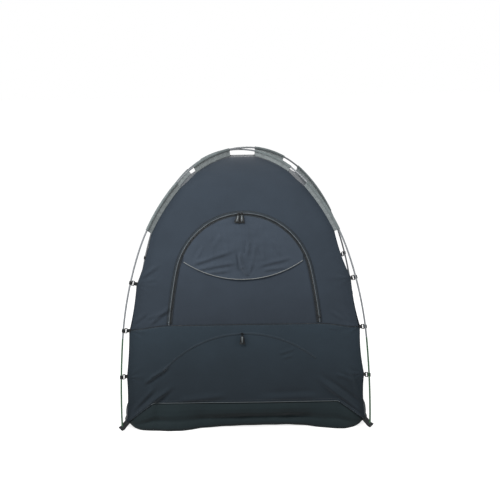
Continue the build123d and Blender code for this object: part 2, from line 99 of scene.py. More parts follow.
# ---- the poles and the corner seams as curves
def pole_at(s):
    """Distance out, height and slope of a pole's axis at length s from the crossing; s may be an array."""
    s = np.asarray(s, float)
    out, height, slope = np.zeros_like(s), np.full_like(s, APEX), np.zeros_like(s)
    for k, bend in enumerate(BENDS):
        radius = SECTION / math.radians(bend)
        step = np.clip(s - k * SECTION, 0, None if k == len(BENDS) - 1 else SECTION)
        turned = slope + step / radius
        out = out + radius * (np.sin(turned) - np.sin(slope))
        height = height - radius * (np.cos(slope) - np.cos(turned))
        slope = turned
    return out, height, slope


def plain_gap(s):
    return np.interp(s, [g[0] for g in PLAIN_GAPS], [g[1] for g in PLAIN_GAPS])


def bowed_gap(corner):
    """Gap from pole to corner seam, which is held at sleeves and clips and bows inward between them."""
    bows = BOWS[corner]
    sleeves = SLEEVES[corner.split("_")[0]]
    holds = [(0.0, 0.031, 0.0), (TOP_S, 0.0315, 0.001), (sleeves[0][1], 0.032, 0.005),
             (sleeves[1][0], 0.032, 0.001), (sleeves[1][1], 0.0315, bows[0][1])]
    after = (bows[1][1], bows[2][1], 0.012 if corner == "front_right" else 0.009)
    holds += [(s, gap, bow) for s, (gap, _), bow in zip(CLIP_S[corner], bows, after)]
    holds += [(1.757, 0.028, 0.0), (1.85, 0.028, 0.0)]

    def gap(s):
        total = np.interp(s, [h[0] for h in holds], [h[1] for h in holds])
        for (s0, _, bow), (s1, _, _) in zip(holds, holds[1:]):
            t = np.clip((s - s0) / (s1 - s0), 0, 1)
            total = total + bow * np.sin(math.pi * t) ** 0.8
        return total
    return gap


def seam_table(gap_of):
    s = np.linspace(0.0, 1.80, 1500)
    out, height, slope = pole_at(s)
    gap = gap_of(s)
    seam_out, seam_z = out - gap * np.sin(slope), height - gap * np.cos(slope)
    order = np.argsort(seam_z)
    return seam_out[order], seam_z[order]


GAPS = {corner: bowed_gap(corner) for corner in CORNERS}
SEAMS = {corner: seam_table(GAPS[corner]) for corner in CORNERS}
SEAMS["plain"] = seam_table(plain_gap)


def out_at(z, corner):
    """Distance out of a corner seam at a height."""
    table_out, table_z = SEAMS[corner]
    return np.interp(z, table_z, table_out)


def station(s, corner):
    """Middle of the pole at s on a leg, the way inward, the way down the leg and the way across."""
    out, height, slope = (float(v) for v in pole_at(s))
    x_side, y_side = CORNERS[corner]
    lift = CROSSING_LIFT if x_side == y_side else -CROSSING_LIFT
    away = np.array([x_side * ACROSS, y_side * ALONG, 0.0])
    up = np.array([0.0, 0.0, 1.0])
    middle = away * out + up * (height + lift)
    inward = -away * math.sin(slope) - up * math.cos(slope)
    down = away * math.cos(slope) - up * math.sin(slope)
    return middle, inward, down, np.cross(down, inward)


def seam_point(s, corner):
    """The corner seam beside the pole at s."""
    out, height, slope = (float(v) for v in pole_at(s))
    gap = float(GAPS[corner](s))
    x_side, y_side = CORNERS[corner]
    reach = out - gap * math.sin(slope)
    return np.array([x_side * ACROSS * reach, y_side * ALONG * reach, height - gap * math.cos(slope)])


TOP_Z = float(seam_point(TOP_S, "front_left")[2])


# ---- folds
def smooth(t):
    t = np.clip(t, 0, 1)
    return t * t * (3 - 2 * t)


def waves(x, z, seed, size, height):
    """Gentle uneven undulation made of a few crossed waves."""
    source = np.random.default_rng(seed)
    total = 0.0
    for _ in range(7):
        angle = source.uniform(0, math.pi)
        length = size * source.uniform(0.6, 1.6)
        phase = source.uniform(0, 2 * math.pi)
        total = total + np.sin(2 * math.pi * (x * math.cos(angle) + z * math.sin(angle)) / length + phase)
    return height * total / 7


def crease(x, z, start, end, width, height):
    """One fold along a line, raised on one side and sunk on the other, fading at both ends."""
    (x0, z0), (x1, z1) = start, end
    length = math.hypot(x1 - x0, z1 - z0)
    ux, uz = (x1 - x0) / length, (z1 - z0) / length
    t = ((x - x0) * ux + (z - z0) * uz) / length
    d = ((x - x0) * -uz + (z - z0) * ux) / width
    fade = smooth((t + 0.15) / 0.3) * smooth((1.25 - t) / 0.5)
    return height * fade * (np.exp(-d ** 2) - 0.55 * np.exp(-(d + 1.5) ** 2))


def fan_folds(x, z, px, pz, reach, count, height, low, high):
    """Folds that fan out from a held point between two directions, in degrees, and die away with distance."""
    dx, dz = x - px, z - pz
    far = np.hypot(dx, dz)
    t = (np.degrees(np.arctan2(dz, dx)) % 360 - low) / (high - low)
    inside = smooth(np.clip(t, 0, 1) * 4) * smooth((1 - np.clip(t, 0, 1)) * 4)
    return height * inside * np.cos(2 * math.pi * count * t) * np.exp(-far / reach) * smooth(far / 0.03)


# ---- mesh helpers
def mesh_object(name, verts, faces):
    mesh = bpy.data.meshes.new(name)
    mesh.from_pydata([tuple(map(float, v)) for v in verts], [], faces)
    mesh.update()
    obj = bpy.data.objects.new(name, mesh)
    bpy.context.scene.collection.objects.link(obj)
    mesh.polygons.foreach_set("use_smooth", [True] * len(mesh.polygons))
    return obj


def grid_faces(rows, cols, base=0, closed=False):
    span = cols if closed else cols - 1
    return [(base + r * cols + c, base + r * cols + (c + 1) % cols, base + (r + 1) * cols + (c + 1) % cols,
             base + (r + 1) * cols + c) for r in range(rows - 1) for c in range(span)]


def grids_object(name, grids, closed=False):
    """One mesh from one or more rows by columns arrays of points."""
    verts, faces = [], []
    for points in grids:
        rows, cols = points.shape[:2]
        faces += grid_faces(rows, cols, len(verts), closed)
        verts += points.reshape(-1, 3).tolist()
    return mesh_object(name, verts, faces)


def tube(name, path, radius, sides=8, flat=1.0):
    """A round or flattened tube along a path of points."""
    path = np.asarray(path, float)
    along = np.gradient(path, axis=0)
    along /= np.linalg.norm(along, axis=1)[:, None]
    hint = np.array([0.3, -1.0, 0.4])
    first = np.cross(along, hint)
    first /= np.linalg.norm(first, axis=1)[:, None]
    second = np.cross(along, first)
    angles = np.linspace(0, 2 * math.pi, sides, endpoint=False)
    ring = (first[:, None] * np.cos(angles)[None, :, None]
            + second[:, None] * (flat * np.sin(angles))[None, :, None])
    return grids_object(name, [path[:, None] + ring * radius], closed=True)


def thicken(obj, depth, offset=-1.0):
    solid = obj.modifiers.new("thickness", "SOLIDIFY")
    solid.thickness, solid.offset = depth, offset


def boxes_object(name, middles, axes, sizes):
    """Many little boxes as one mesh: a middle and three axes for each, all of one size."""
    verts, faces = [], []
    corners = [(a, b, c) for a in (-1, 1) for b in (-1, 1) for c in (-1, 1)]
    quads = ((0, 1, 3, 2), (4, 6, 7, 5), (0, 4, 5, 1), (2, 3, 7, 6), (0, 2, 6, 4), (1, 5, 7, 3))
    for middle, (u, v, w) in zip(middles, axes):
        base = len(verts)
        verts += [middle + u * a * sizes[0] / 2 + v * b * sizes[1] / 2 + w * c * sizes[2] / 2
                  for a, b, c in corners]
        faces += [tuple(base + i for i in quad) for quad in quads]
    return mesh_object(name, verts, faces)


def stitches(name, path, out, pitch=0.0050, size=(0.0032, 0.0007, 0.0005)):
    """A row of stitches along a path that lies on cloth facing the way out."""
    path = np.asarray(path, float)
    steps = np.concatenate([[0], np.cumsum(np.linalg.norm(np.diff(path, axis=0), axis=1))])
    at = np.arange(pitch / 2, steps[-1], pitch)
    points = np.stack([np.interp(at, steps, path[:, k]) for k in range(3)], 1)
    ahead = np.stack([np.interp(at + 0.001, steps, path[:, k]) for k in range(3)], 1)
    behind = np.stack([np.interp(at - 0.001, steps, path[:, k]) for k in range(3)], 1)
    along = ahead - behind
    along /= np.linalg.norm(along, axis=1)[:, None]
    out = np.broadcast_to(np.asarray(out, float), along.shape)
    side = np.cross(out, along)
    side /= np.linalg.norm(side, axis=1)[:, None]
    up = np.cross(along, side)
    obj = boxes_object(name, points, list(zip(along, side, up)), size)
    obj.data.polygons.foreach_set("use_smooth", [False] * len(obj.data.polygons))
    return finish_piece(obj, THREAD, "shell")


def finish_piece(obj, material, body, replaced=()):
    """Gives a piece its material and body, and hides the CAD nodes that it stands for."""
    obj.data.materials.clear()
    obj.data.materials.append(material)
    if body:
        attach(obj, body)
    if replaced:
        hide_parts(*replaced)
    return obj


def cloth(name, points, material, replaced, outward, body="shell", flat=None,
          depth=0.0007):
    """A sheet of the shell from a grid of points, thickened on its inside."""
    obj = grids_object(name, [points])
    middle = obj.data.polygons[len(obj.data.polygons) // 2 + points.shape[1] // 2]
    if middle.normal.dot(Vector(outward)) < 0:
        obj.data.flip_normals()
    thicken(obj, depth)
    finish_piece(obj, material, body, replaced)
    if flat is None:
        wide = np.linalg.norm(np.diff(points, axis=1), axis=2).sum(1).max()
        long = np.linalg.norm(np.diff(points, axis=0), axis=2).sum(0).max()
        flat = (round(float(wide), 3), round(float(long), 3))
    return obj
# ---- materials
class Nodes:
    """Short way to write a node material."""

    def __init__(self, name):
        self.material = bpy.data.materials.new(name)
        self.material.use_nodes = True
        self.tree = self.material.node_tree
        self.shader = self.tree.nodes["Principled BSDF"]
        self.place = self.add("ShaderNodeTexCoord").outputs["Object"]

    def add(self, kind, **settings):
        node = self.tree.nodes.new(kind)
        for key, value in settings.items():
            setattr(node, key, value)
        return node

    def link(self, out, socket):
        self.tree.links.new(out, socket)

    def noise(self, scale, detail=2.0, rough=0.5, stretch=None):
        node = self.add("ShaderNodeTexNoise")
        node.inputs["Scale"].default_value = scale
        node.inputs["Detail"].default_value = detail
        node.inputs["Roughness"].default_value = rough
        place = self.place
        if stretch:
            mapping = self.add("ShaderNodeMapping")
            mapping.inputs["Scale"].default_value = stretch
            self.link(place, mapping.inputs["Vector"])
            place = mapping.outputs["Vector"]
        self.link(place, node.inputs["Vector"])
        return node.outputs["Fac"]

    def wave(self, scale, direction, profile="SIN", distortion=0.0):
        node = self.add("ShaderNodeTexWave", bands_direction=direction, wave_profile=profile)
        node.inputs["Scale"].default_value = scale
        node.inputs["Distortion"].default_value = distortion
        self.link(self.place, node.inputs["Vector"])
        return node.outputs["Fac"]

    def math(self, operation, a, b):
        node = self.add("ShaderNodeMath", operation=operation)
        for socket, value in zip(node.inputs, (a, b)):
            if isinstance(value, (int, float)):
                socket.default_value = value
            else:
                self.link(value, socket)
        return node.outputs[0]

    def ramp(self, fac, stops):
        node = self.add("ShaderNodeValToRGB")
        while len(node.color_ramp.elements) > 2:
            node.color_ramp.elements.remove(node.color_ramp.elements[-1])
        for element, (at, color) in zip(node.color_ramp.elements, (stops[0], stops[-1])):
            element.position, element.color = at, (*color, 1)
        for at, color in stops[1:-1]:
            node.color_ramp.elements.new(at).color = (*color, 1)
        self.link(fac, node.inputs["Fac"])
        return node.outputs["Color"]

    def times(self, a, b):
        mix = self.add("ShaderNodeMix", data_type="RGBA", blend_type="MULTIPLY")
        mix.inputs["Factor"].default_value = 1.0
        self.link(a, mix.inputs["A"])
        self.link(b, mix.inputs["B"])
        return mix.outputs["Result"]

    def bump(self, height, strength, distance):
        node = self.add("ShaderNodeBump")
        node.inputs["Strength"].default_value = strength
        node.inputs["Distance"].default_value = distance
        self.link(height, node.inputs["Height"])
        self.link(node.outputs["Normal"], self.shader.inputs["Normal"])


def srgb(r, g, b):
    """Linear colour from the numbers that a colour picker shows."""
    return tuple((c / 255 / 12.92) if c <= 10 else ((c / 255 + 0.055) / 1.055) ** 2.4 for c in (r, g, b))


def mixed(color, factor):
    return tuple(min(1.0, c * factor) for c in color)


def cloth_material(name, color, painted_height_shade=((0.0, 1.0), (1.4, 1.0)), weave=900.0, sheen=0.25, rough=0.92,
                   relief=0.00018, mottle=0.07):
    """Woven cloth; its colour is scaled by a ramp on height, given as pairs of height and strength: painted
    shade, darker towards the floor.
    """
    n = Nodes(name)
    cloud = n.noise(6.0, 4.0, 0.6)
    base = n.ramp(cloud, ((0.3, mixed(color, 1 - mottle)), (0.7, mixed(color, 1 + mottle))))
    speck = n.ramp(n.noise(2200.0, 1.0), ((0.35, (0.88, 0.88, 0.88)), (0.65, (1.12, 1.12, 1.12))))
    split = n.add("ShaderNodeSeparateXYZ")
    n.link(n.place, split.inputs["Vector"])
    # painted shade: the ramp on height below darkens the colour towards the floor
    tall = 1.4
    tone = n.ramp(n.math("DIVIDE", split.outputs["Z"], tall), [(z / tall, (level,) * 3) for z, level in painted_height_shade])
    n.link(n.times(n.times(base, speck), tone), n.shader.inputs["Base Color"])
    n.shader.inputs["Roughness"].default_value = rough
    n.shader.inputs["Sheen Weight"].default_value = sheen
    n.shader.inputs["Sheen Roughness"].default_value = 0.45
    n.shader.inputs["Specular IOR Level"].default_value = 0.25
    knit = n.math("ADD", n.wave(weave, "X"), n.math("ADD", n.wave(weave, "Z"), n.wave(weave, "Y")))
    n.bump(n.math("ADD", knit, n.math("MULTIPLY", n.noise(60.0, 3.0), 4.0)), 0.5, relief)
    return n.material


def webbing_material(name, color, rib=420.0, direction="Z", relief=0.0004):
    n = Nodes(name)
    ribs = n.wave(rib, direction)
    base = n.ramp(ribs, ((0.0, mixed(color, 0.72)), (1.0, mixed(color, 1.15))))
    grime = n.ramp(n.noise(40.0, 3.0), ((0.3, (0.85, 0.85, 0.85)), (0.7, (1.1, 1.1, 1.1))))
    n.link(n.times(base, grime), n.shader.inputs["Base Color"])
    n.shader.inputs["Roughness"].default_value = 0.8
    n.shader.inputs["Sheen Weight"].default_value = 0.15
    n.bump(ribs, 0.6, relief)
    return n.material


def metal_material(name, color, metallic=0.0, rough=0.4, coat=0.2):
    n = Nodes(name)
    scuff = n.noise(90.0, 4.0, 0.7, (1, 1, 0.15))
    base = n.ramp(scuff, ((0.3, mixed(color, 0.86)), (0.62, color), (0.8, mixed(color, 1.18))))
    n.link(base, n.shader.inputs["Base Color"])
    n.shader.inputs["Metallic"].default_value = metallic
    grain = n.ramp(n.noise(400.0, 3.0), ((0.2, (rough - 0.08,) * 3), (0.8, (rough + 0.1,) * 3)))
    n.link(grain, n.shader.inputs["Roughness"])
    n.shader.inputs["Coat Weight"].default_value = coat
    n.bump(n.noise(1500.0, 2.0), 0.15, 0.0001)
    return n.material


def plastic_material(name, color, rough=0.5):
    n = Nodes(name)
    base = n.ramp(n.noise(120.0, 3.0), ((0.3, mixed(color, 0.85)), (0.7, mixed(color, 1.2))))
    n.link(base, n.shader.inputs["Base Color"])
    n.shader.inputs["Roughness"].default_value = rough
    n.bump(n.noise(2500.0, 2.0), 0.25, 0.00008)
    return n.material


SHADE = 0.62  # the studio is bright: cloth colours are given as seen and darkened to what they reflect


def seen(r, g, b, factor=SHADE):
    return mixed(srgb(r, g, b), factor)


# The height ramps given to the upper, door and lower cloth are painted shade, darker towards the floor.
UPPER = cloth_material("upper_cloth", seen(59, 70, 82),
                       ((0.0, 0.72), (0.45, 0.84), (0.62, 0.92), (0.90, 1.0)))
DOOR = cloth_material("door_cloth", seen(66, 77, 90), ((0.50, 0.66), (0.64, 0.74), (0.90, 1.0)))
POUCH = cloth_material("pouch_cloth", seen(69, 80, 93))
LOWER = cloth_material("lower_cloth", seen(51, 65, 76), ((0.12, 0.60), (0.30, 0.74), (0.52, 1.0)))
SKIRT = cloth_material("skirt_cloth", seen(31, 45, 49))
SLEEVE_TUBE = webbing_material("sleeve_tube", seen(120, 130, 131, 0.74), rib=150.0, direction="DIAGONAL")
SLEEVE_BAND = webbing_material("sleeve_band", seen(147, 155, 156, 0.68), rib=150.0, direction="DIAGONAL")
TAPE_CLOTH = cloth_material("zip_tape", seen(58, 67, 74))
TAPE_SEAM = cloth_material("tape_seam", seen(46, 54, 61))
# Painted highlight: this pale colour on the arch's outer welt stands for light along the cloth's edge; it also
# colours the pale dots at the ends of the zip tapes.
WELT_HIGHLIGHT_AND_TAPE_ENDS = webbing_material("zip_welt_highlight_and_tape_ends", seen(122, 130, 136, 0.80), rib=900.0)
PIPING = webbing_material("piping", seen(134, 138, 139, 0.90), rib=900.0)
HEM_EDGE = webbing_material("hem_edge", seen(98, 107, 111, 0.80), rib=900.0)
# Painted highlight: a line a little lighter than the lower cloth, for light caught along the crease of the
# lower zip.
FAN_EDGE_HIGHLIGHT = webbing_material("fan_edge_highlight", seen(52, 63, 71), rib=900.0)
DARK = webbing_material("seam_shadow", seen(22, 28, 32), rib=900.0)
THREAD = plastic_material("thread", seen(84, 92, 98), 0.7)
WEBBING = webbing_material("webbing", seen(22, 26, 28))
BOOT = webbing_material("boot_webbing", seen(30, 35, 38), rib=260.0)
COIL = plastic_material("zip_coil", seen(20, 24, 27), 0.4)
GREY = metal_material("pole_grey", seen(134, 138, 142, 0.8))
GREEN = metal_material("pole_green", seen(68, 103, 76, 0.8))
STEEL = metal_material("ferrule", seen(170, 170, 172), 0.9, 0.3, 0.0)
CLIP = plastic_material("clip_plastic", seen(20, 23, 25), 0.42)
SLIDER = metal_material("slider_metal", seen(20, 22, 24), 0.4, 0.35, 0.3)
RUBBER = plastic_material("pull_rubber", seen(14, 18, 19), 0.55)
STEM = plastic_material("pull_stem", seen(112, 118, 121, 0.80), 0.6)
ELASTIC = webbing_material("shock_cord", seen(24, 24, 26), rib=1400.0)

# ---- the front wall
CREASE_DEPTH, POUCH_CREASE_DEPTH = 2.1, 1.7  # how much deeper the folds lie than their listed heights
FRONT_CREASES = (
    ((-0.600, 0.045), (-0.474, 0.133), 0.010, 0.0050), ((-0.600, 0.060), (-0.400, 0.203), 0.013, 0.0055),
    ((-0.597, 0.080), (-0.470, 0.215), 0.011, 0.0028), ((-0.510, 0.247), (-0.398, 0.323), 0.010, 0.0032),
    ((-0.480, 0.276), (-0.435, 0.300), 0.007, 0.0018), ((0.600, 0.045), (0.474, 0.139), 0.010, 0.0048),
    ((0.598, 0.070), (0.400, 0.236), 0.014, 0.0055), ((0.596, 0.100), (0.439, 0.226), 0.010, 0.0032),
    ((0.540, 0.250), (0.470, 0.275), 0.009, 0.0018), ((0.182, 0.388), (0.250, 0.410), 0.008, 0.0013),
    ((0.196, 0.364), (0.244, 0.377), 0.008, 0.0009), ((-0.524, 0.784), (-0.440, 0.836), 0.011, 0.0026),
    ((-0.530, 0.760), (-0.450, 0.772), 0.009, 0.0016), ((0.556, 0.787), (0.490, 0.858), 0.011, 0.0024),
    ((-0.476, 0.552), (-0.378, 0.630), 0.011, 0.0026), ((-0.490, 0.577), (-0.400, 0.608), 0.009, 0.0018),
    ((-0.560, 0.556), (-0.500, 0.600), 0.010, 0.0018), ((0.500, 0.560), (0.440, 0.600), 0.010, 0.0016),
    ((0.430, 0.515), (0.470, 0.508), 0.006, 0.0006), ((-0.330, 0.150), (-0.120, 0.172), 0.016, 0.0030),
    ((0.350, 0.165), (0.110, 0.160), 0.016, 0.0026), ((0.590, 0.118), (0.520, 0.300), 0.015, 0.0030),
)


def side_out(x, z):
    return np.where(np.asarray(x) < 0, out_at(z, "front_left"), out_at(z, "front_right"))


def seam_drop(x, z):
    """How far the waist seam, and the cloth near it, hangs lower towards the corners."""
    return 0.021 * smooth((np.abs(x) - 0.385) / 0.20) * np.exp(-((z - SEAM_Z) / 0.10) ** 2)


def front_y(x, z):
    corner = side_out(x, z)
    hold = np.exp(-(np.clip(corner * ACROSS - np.abs(x), 0, None) / 0.09) ** 2)
    return -ALONG * (out_at(z, "plain") * (1 - hold) + corner * hold)


def front_normal(z):
    """Outward and upward parts of the front wall's unit normal."""
    dz = 0.004
    lean = ALONG * (out_at(z - dz, "plain") - out_at(z + dz, "plain")) / (2 * dz)
    length = np.sqrt(1 + lean ** 2)
    return 1 / length, lean / length


def front_relief(x, z):
    """Small folds of the front panels, outward in metres."""
    lift = waves(x, z, 3, 0.30, 0.0018) + waves(x, z, 5, 0.085, 0.0003)
    for corner, mirror in (("front_left", -1), ("front_right", 1)):
        for s in CLIP_S[corner]:
            px, _, pz = seam_point(s, corner)
            lift = lift + fan_folds(-x * mirror, z, -px * mirror, pz, 0.07, 4, 0.0022, -70, 70)
            lift = lift + fan_folds(-x * mirror, z, -px * mirror, pz, 0.07, 4, 0.0022, 290, 430)
    for start, end, width, height in FRONT_CREASES:
        lift = lift + crease(x, z, start, end, width, CREASE_DEPTH * height)
    drop = SEAM_Z - seam_drop(x, SEAM_Z)
    lift = lift - 0.0014 * np.exp(-((z - drop) / 0.005) ** 2)
    pucker = np.sin(2 * math.pi * x / 0.027 + 3 * np.sin(x * 9)) * np.exp(-np.abs(z - drop) / 0.025)
    return lift + 0.0005 * pucker


def front_point(x, z, lift=0.0):
    """A point on the front wall from its place in the front view, raised off the cloth by lift."""
    x, z = np.broadcast_arrays(np.asarray(x, float), np.asarray(z, float))
    z = z - seam_drop(x, z)
    out, up = front_normal(z)
    to_corner = side_out(x, z) * ACROSS - np.abs(x)
    fade = smooth(to_corner / 0.03) * smooth((TOP_Z - z) / 0.03)
    rise = lift + front_relief(x, z) * fade
    return np.stack([x, front_y(x, z) - out * rise, z + up * rise], -1)


def arch_path(grow=0.0, step=0.005, foot_z=SEAM_Z):
    """Points of the door's arch in the front view, from its left foot over the top to its right foot."""
    end = math.radians(90 - ARCH_END)
    radius = ARCH_R + grow
    top = np.array([radius * math.cos(end), ARCH_Z + radius * math.sin(end)])
    down = np.array([math.sin(end), -math.cos(end)])
    foot = np.array([ARCH_FOOT + grow, SEAM_Z])
    chord = foot - top
    side = np.array([down[1], -down[0]])
    bend = chord @ chord / (2 * (chord @ side))
    middle = top + side * bend
    a0 = math.atan2(*(top - middle)[::-1])
    a1 = math.atan2(*(foot - middle)[::-1])
    a1 = a0 + (a1 - a0 + math.pi) % (2 * math.pi) - math.pi
    count = int(np.linalg.norm(chord) / step)
    turn = np.linspace(a0, a1, count + 1)
    leg = middle + abs(bend) * np.stack([np.cos(turn), np.sin(turn)], 1)
    leg = leg[leg[:, 1] >= foot_z - 1e-9]
    angles = np.linspace(math.pi - end, end, int(radius * (math.pi - 2 * end) / step))
    arc = np.stack([radius * np.cos(angles), ARCH_Z + radius * np.sin(angles)], 1)
    return np.concatenate([leg[::-1] * (-1, 1), arc[1:-1], leg])


def border_hit(x, z, angle):
    """Where a line in the front view, from x, z, leaves the front panel."""
    low, high = 0.0, 1.2
    for _ in range(40):
        middle = (low + high) / 2
        px, pz = x + middle * math.cos(angle), z + middle * math.sin(angle)
        if pz > TOP_Z or abs(px) > float(side_out(px, pz)) * ACROSS:
            high = middle
        else:
            low = middle
    return x + low * math.cos(angle), z + low * math.sin(angle)


def front_surround():
    """The front upper panel round the door: rays from the arch out to the panel's border."""
    path = arch_path(0.0004)
    end = math.radians(90 - ARCH_END)
    top_z = ARCH_Z + ARCH_R * math.sin(end)
    border = []
    for x, z in path:
        if z > top_z:
            angle = math.atan2(z - ARCH_Z, x)
        else:
            tilt = end * (z - SEAM_Z) / (top_z - SEAM_Z)
            angle = tilt if x > 0 else math.pi - tilt
        border.append(border_hit(x, z, angle))
    t = np.linspace(0, 1, 60)[None, :, None]
    flat = path[:, None] * (1 - t) + np.array(border)[:, None] * t
    return front_point(flat[..., 0], flat[..., 1])


def door_grid():
    """The door inside the arch: lines from the waist seam up to the arch."""
    path = arch_path(-0.0004)
    base = np.stack([np.linspace(path[0, 0], path[-1, 0], len(path)), np.full(len(path), SEAM_Z)], 1)
    t = np.linspace(0, 1, 110)[None, :, None]
    flat = base[:, None] * (1 - t) + path[:, None] * t
    return front_point(flat[..., 0], flat[..., 1])


FRONT_HALF, SIDE_HALF = 0.604, 0.460  # half the hem's width along a long and a short wall
HEM_LEVEL = 0.475 / FRONT_HALF  # the share of it that runs level


def hem_z(x, half):
    """Height of the hem, level in the middle and running down to the corners at both ends."""
    t = np.clip((np.abs(x) - HEM_LEVEL * half) / (half * (1 - HEM_LEVEL)), 0, 1)
    return HEM_RISE - 0.002 * (1 - (x / half) ** 2) - (HEM_RISE - CORNER_Z) * t ** 1.08


def front_lower():
    u = np.linspace(-1, 1, 260)[None]
    v = np.linspace(0, 1, 110)[:, None]
    low = hem_z(u * FRONT_HALF, FRONT_HALF)
    z = SEAM_Z * (1 - v) + low * v
    x = u * side_out(u, z) * ACROSS
    return front_point(x, z)


# ---- side and back walls
FACES = {  # the two corners that a wall joins, its outward direction, and the seed of its folds
    "left": ("front_left", "rear_left", (-1, 0, 0), 31),
    "right": ("front_right", "rear_right", (1, 0, 0), 32),
    "back": ("rear_left", "rear_right", (0, 1, 0), 21),
}


def corner_point(z, corner):
    x_side, y_side = CORNERS[corner]
    out = out_at(z, corner)
    return np.stack([x_side * ACROSS * out, y_side * ALONG * out, z + 0 * out], -1)


def wall_point(face, u, z, lift=0.0):
    """A point on a side or back wall: u runs from 0 to 1 between its two corners."""
    first, second, facing, seed = FACES[face]
    a, b = corner_point(z, first), corner_point(z, second)
    base = a * (1 - u)[..., None] + b * u[..., None]
    span = 0.92 if face != "back" else 1.2
    across = (u - 0.5) * span
    rise = waves(across, z, seed, 0.30, 0.0026) + waves(across, z, seed + 1, 0.09, 0.0004)
    for corner, edge in ((first, -0.5 * span), (second, 0.5 * span)):
        for s in CLIP_S[corner]:
            pz = seam_point(s, corner)[2]
            turned = -across if edge > 0 else across
            rise = rise + fan_folds(turned, z, -abs(edge), pz, 0.08, 4, 0.0030, -70, 70)
            rise = rise + fan_folds(turned, z, -abs(edge), pz, 0.08, 4, 0.0030, 290, 430)
    for side in (-1, 1):
        for reach, height in ((0.10, 0.0050), (0.17, 0.0035)):
            start, end = (side * span * 0.49, 0.06), (side * (span * 0.49 - reach), 0.06 + reach * 0.85)
            rise = rise + crease(across, z, start, end, 0.013, height)
    sag = 0.007 * np.sin(math.pi * u) * smooth((TOP_Z - z) / 0.2)
    edge = np.minimum(u, 1 - u) * span
    fade = smooth(edge / 0.03) * smooth((TOP_Z - z) / 0.03)
    return base + np.array(facing) * (lift + rise * fade - sag)[..., None]


def wall_grid(face, top, low, columns, rows):
    u = np.linspace(0, 1, columns)[None]
    v = np.linspace(0, 1, rows)[:, None]
    half = SIDE_HALF if face != "back" else FRONT_HALF
    bottom = hem_z((2 * u - 1) * half, half) if low is None else low + 0 * u
    z = top * (1 - v) + bottom * v
    return wall_point(face, u + 0 * z, z)


# ---- skirts
def skirt_grid(top_line, edge_line, out, columns_fade, bulge):
    """A skirt from the hem line to its edge near the floor, with a fold lying along it."""
    rows = 40
    v = np.linspace(0, 1, rows)[:, None]
    profile_v = (0.0, 0.10, 0.28, 0.46, 0.58, 0.66, 0.78, 0.90, 1.0)
    profile_n = (-0.006, 0.004, 0.012, 0.011, 0.002, -0.004, 0.008, 0.010, 0.0)
    push = np.interp(v, profile_v, profile_n)
    push = (push + np.roll(push, 1, 0) + np.roll(push, -1, 0)) / 3
    push[0], push[-1] = profile_n[0], 0.0
    base = top_line[None] * (1 - v)[..., None] + edge_line[None] * v[..., None]
    amount = push * columns_fade[None] * bulge[None]
    return base + np.array(out, float) * amount[..., None]


SKIRT_EDGES = {  # along each wall: place across it, how far out its edge lies and how high, in metres
    "front": ((-0.596, 0.430, 0.028), (-0.575, 0.446, 0.012), (-0.540, 0.462, 0.003), (-0.470, 0.468, 0.001),
              (-0.395, 0.482, 0.001), (-0.330, 0.481, 0.001), (-0.280, 0.462, 0.002), (-0.233, 0.444, 0.004),
              (-0.120, 0.434, 0.008), (-0.020, 0.428, 0.009), (0.110, 0.424, 0.010), (0.224, 0.422, 0.010),
              (0.310, 0.430, 0.007), (0.376, 0.446, 0.002), (0.449, 0.470, 0.001), (0.508, 0.478, 0.001),
              (0.552, 0.452, 0.003), (0.582, 0.440, 0.014), (0.596, 0.430, 0.028)),
    "left": ((-0.430, 0.604, 0.028), (-0.395, 0.618, 0.006), (-0.300, 0.632, 0.001), (-0.160, 0.621, 0.003),
             (0.020, 0.634, 0.001), (0.180, 0.618, 0.004), (0.310, 0.630, 0.001), (0.400, 0.616, 0.006),
             (0.430, 0.604, 0.028)),
}
SKIRT_EDGES["back"] = tuple((x, out, z) for x, out, z in SKIRT_EDGES["front"])
SKIRT_EDGES["right"] = tuple((-x, out, z) for x, out, z in SKIRT_EDGES["left"])[::-1]


def skirt_of(face):
    columns = 260 if face in ("front", "back") else 180
    u = np.linspace(0, 1, columns)
    if face == "front":
        x = 2 * u - 1
        low = hem_z(x * FRONT_HALF, FRONT_HALF) + 0.003
        across = x * side_out(x, low) * ACROSS
        top = front_point(across, low, -0.004)
        out, along = (0, -1, 0), 0
    else:
        half = SIDE_HALF if face != "back" else FRONT_HALF
        low = hem_z((2 * u - 1) * half, half) + 0.003
        top = wall_point(face, u, low, -0.004)
        out, along = FACES[face][2], 0 if face == "back" else 1
    table = np.array(SKIRT_EDGES[face])
    place = np.linspace(table[0, 0], table[-1, 0], columns)
    fine = np.stack([np.interp(place, table[:, 0], table[:, k]) for k in range(3)], 1)
    for _ in range(6):
        fine[1:-1] = (fine[:-2] + fine[1:-1] * 2 + fine[2:]) / 4
    edge = np.zeros((columns, 3))
    sign = sum(out)
    edge[:, along] = fine[:, 0]
    edge[:, 1 - along] = sign * fine[:, 1]
    edge[:, 2] = fine[:, 2] + 0.0006
    near_end = np.minimum(u, 1 - u)
    fade = smooth(near_end / 0.10)
    bulge = 1 + 0.5 * waves(place, 0.0, 41 + len(face), 0.35, 3.0)
    grid = skirt_grid(top, edge, out, fade, bulge)
    ripple = waves(np.broadcast_to(place, grid.shape[:2]), grid[..., 2], 47, 0.13, 0.0075)
    rows = np.linspace(0, 1, grid.shape[0])[:, None]
    grid += np.array(out, float) * (ripple * smooth(rows * 3) * fade[None])[..., None]
    grid[..., 2] = np.maximum(grid[..., 2], 0.0007)
    return grid


